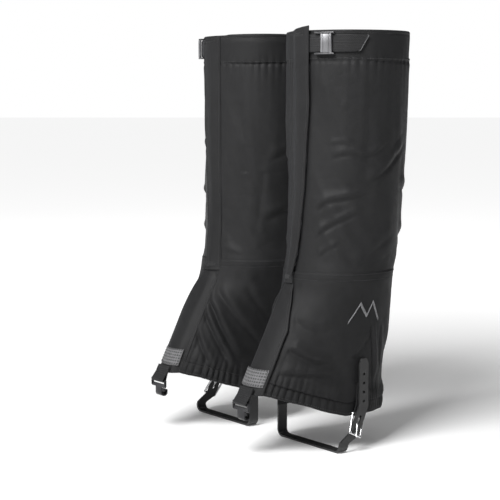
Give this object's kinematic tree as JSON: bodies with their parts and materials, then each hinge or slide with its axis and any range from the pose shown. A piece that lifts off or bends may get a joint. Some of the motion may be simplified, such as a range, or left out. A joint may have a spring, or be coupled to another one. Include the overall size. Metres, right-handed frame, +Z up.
{
  "type": "pair of hiking gaiters",
  "caption": "Calf-high black nylon hiking gaiters, a mirrored pair with front closure flaps, cam-buckle cuffs, lace hooks and buckled instep straps.",
  "frame": {"origin": "centre of the left cuff's round leg opening, at the middle of the cuff's height", "axes": "+Z up along the leg, -Y towards the toes, +X to the wearer's left; the left gaiter stands at x = 0 and the right one at x = -0.16 m"},
  "size_m": [0.296, 0.2173, 0.4595],
  "materials": {
    "upper_fabric": "coated packcloth, soft sheen",
    "lower_fabric": "heavy coated nylon, soft sheen",
    "webbing": "woven nylon webbing",
    "elastic": "knitted elastic",
    "hook_tape": "nylon hooks",
    "loop_tape": "brushed loops",
    "label": "woven satin label",
    "embroidery": "satin stitch",
    "strap_rubber": "coated strap, satin",
    "steel": "nickel-plated steel",
    "buckle_alloy": "satin dark grey alloy",
    "lever_alloy": "satin alloy"
  },
  "bodies": {
    "left_gaiter": {"left_upper_shell": "upper_fabric", "left_lower_shell": "lower_fabric", "left_cuff_band": "upper_fabric", "left_hem_channel": "lower_fabric", "left_hem_elastic": "elastic", "left_loop_tape": "loop_tape", "left_cuff_buckle": "buckle_alloy", "left_cuff_lever_pin": "steel", "left_buckle_anchor": "webbing", "left_peak_emblem": "embroidery", "left_instep_strap": "strap_rubber", "left_outer_anchor": "webbing", "left_inner_anchor": "webbing", "left_strap_rivets": "steel"},
    "left_flap_upper": {"left_upper_flap": "upper_fabric", "left_upper_hook_tape": "hook_tape"},
    "left_flap_lower": {"left_lower_flap": "lower_fabric", "left_lower_hook_tape": "hook_tape", "left_woven_label": "label", "left_toe_tab": "webbing"},
    "left_hook": {"left_lace_hook": "steel"},
    "left_strap": {"left_cuff_strap": "webbing"},
    "left_lever": {"left_cuff_lever": "lever_alloy"},
    "left_buckle": {"left_instep_buckle": "steel"},
    "left_prong": {"left_instep_prong": "steel"},
    "right_gaiter": {"right_upper_shell": "upper_fabric", "right_lower_shell": "lower_fabric", "right_cuff_band": "upper_fabric", "right_hem_channel": "lower_fabric", "right_hem_elastic": "elastic", "right_loop_tape": "loop_tape", "right_cuff_buckle": "buckle_alloy", "right_cuff_lever_pin": "steel", "right_buckle_anchor": "webbing", "right_peak_emblem": "embroidery", "right_instep_strap": "strap_rubber", "right_outer_anchor": "webbing", "right_inner_anchor": "webbing", "right_strap_rivets": "steel"},
    "right_flap_upper": {"right_upper_flap": "upper_fabric", "right_upper_hook_tape": "hook_tape"},
    "right_flap_lower": {"right_lower_flap": "lower_fabric", "right_lower_hook_tape": "hook_tape", "right_woven_label": "label", "right_toe_tab": "webbing"},
    "right_hook": {"right_lace_hook": "steel"},
    "right_strap": {"right_cuff_strap": "webbing"},
    "right_lever": {"right_cuff_lever": "lever_alloy"},
    "right_buckle": {"right_instep_buckle": "steel"},
    "right_prong": {"right_instep_prong": "steel"}
  },
  "joints": [
    {"name": "right_gaiter_apart", "type": "slide", "parent": "left_gaiter", "child": "right_gaiter", "axis": [-1, 0, 0], "range_m": [0, 0.12]},
    {"name": "left_flap_upper_peel", "type": "hinge", "parent": "left_gaiter", "child": "left_flap_upper", "pos_m": [-0.009, -0.0706, 0], "axis": [-0.0222, -0.0117, -0.9997], "range_deg": [0, 45]},
    {"name": "left_flap_lower_peel", "type": "hinge", "parent": "left_gaiter", "child": "left_flap_lower", "pos_m": [-0.015, -0.0765, -0.25], "axis": [-0.0145, -0.4645, -0.8855], "range_deg": [0, 45]},
    {"name": "left_lace_hook_swing", "type": "hinge", "parent": "left_flap_lower", "child": "left_hook", "pos_m": [0.001, -0.1466, -0.38], "axis": [1, 0, 0], "range_deg": [-35, 50]},
    {"name": "left_cuff_strap_slide", "type": "hinge", "parent": "left_gaiter", "child": "left_strap", "pos_m": [0, 0, 0.002], "axis": [0, 0, 1], "range_deg": [-3, 6]},
    {"name": "left_cuff_lever_flip", "type": "hinge", "parent": "left_gaiter", "child": "left_lever", "pos_m": [0.04153, -0.05931, 0.002], "axis": [0, 0, 1], "range_deg": [0, 105]},
    {"name": "left_instep_buckle_swing", "type": "hinge", "parent": "left_gaiter", "child": "left_buckle", "pos_m": [0.052, -0.0258, -0.4005], "axis": [0, -0.8988, 0.4384], "range_deg": [0, 25]},
    {"name": "left_instep_prong_lift", "type": "hinge", "parent": "left_buckle", "child": "left_prong", "pos_m": [0.052, -0.0258, -0.4005], "axis": [0, -0.8988, 0.4384], "range_deg": [0, 28]},
    {"name": "right_flap_upper_peel", "type": "hinge", "parent": "right_gaiter", "child": "right_flap_upper", "pos_m": [-0.151, -0.0706, 0], "axis": [-0.0222, 0.0117, 0.9997], "range_deg": [0, 45]},
    {"name": "right_flap_lower_peel", "type": "hinge", "parent": "right_gaiter", "child": "right_flap_lower", "pos_m": [-0.145, -0.0765, -0.25], "axis": [-0.0145, 0.4645, 0.8855], "range_deg": [0, 45]},
    {"name": "right_lace_hook_swing", "type": "hinge", "parent": "right_flap_lower", "child": "right_hook", "pos_m": [-0.161, -0.1466, -0.38], "axis": [1, 0, 0], "range_deg": [-35, 50]},
    {"name": "right_cuff_strap_slide", "type": "hinge", "parent": "right_gaiter", "child": "right_strap", "pos_m": [-0.16, 0, 0.002], "axis": [0, 0, -1], "range_deg": [-3, 6]},
    {"name": "right_cuff_lever_flip", "type": "hinge", "parent": "right_gaiter", "child": "right_lever", "pos_m": [-0.20153, -0.05931, 0.002], "axis": [0, 0, -1], "range_deg": [0, 105]},
    {"name": "right_instep_buckle_swing", "type": "hinge", "parent": "right_gaiter", "child": "right_buckle", "pos_m": [-0.212, -0.0258, -0.4005], "axis": [0, 0.8988, -0.4384], "range_deg": [0, 25]},
    {"name": "right_instep_prong_lift", "type": "hinge", "parent": "right_buckle", "child": "right_prong", "pos_m": [-0.212, -0.0258, -0.4005], "axis": [0, 0.8988, -0.4384], "range_deg": [0, 28]}
  ],
  "couplings": [
    {"joint": "left_flap_lower_peel", "follows": "left_flap_upper_peel", "ratio": 1},
    {"joint": "right_flap_lower_peel", "follows": "right_flap_upper_peel", "ratio": 1}
  ]
}
